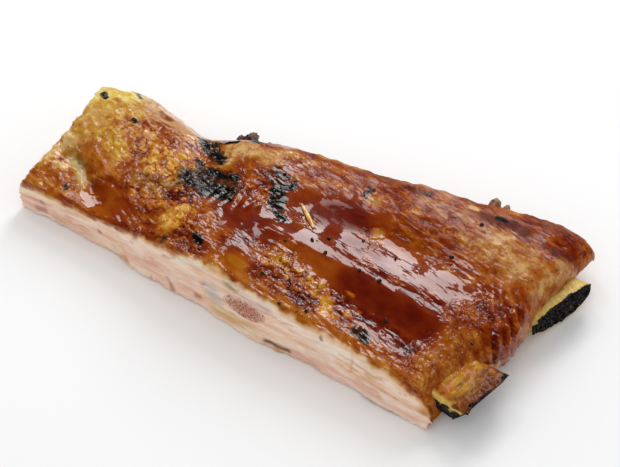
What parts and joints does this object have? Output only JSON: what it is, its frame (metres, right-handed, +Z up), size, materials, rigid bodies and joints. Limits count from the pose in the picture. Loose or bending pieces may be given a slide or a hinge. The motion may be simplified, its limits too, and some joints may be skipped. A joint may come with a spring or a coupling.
{
  "type": "rack of ribs",
  "caption": "Short rack of roasted pork ribs with a shiny brown glaze, knife-cut along the front, bone ends showing at its ends and in the cut.",
  "frame": {"origin": "middle of the portion in plan, on the surface that it rests on", "axes": "+X along the ribs, towards the end where both bones stick out; +Y from the knife-cut front to the back edge; +Z up, out of the glazed side"},
  "size_m": [0.158, 0.075, 0.0187],
  "materials": {
    "meat": "wet amber glaze on browned meat, dry pale cut face",
    "bone": "roasted yellow-brown bone, spongy and charred where cut"
  },
  "bodies": {
    "root": {"meat": "meat", "rib_far": "bone", "rib_near": "bone"}
  },
  "joints": []
}
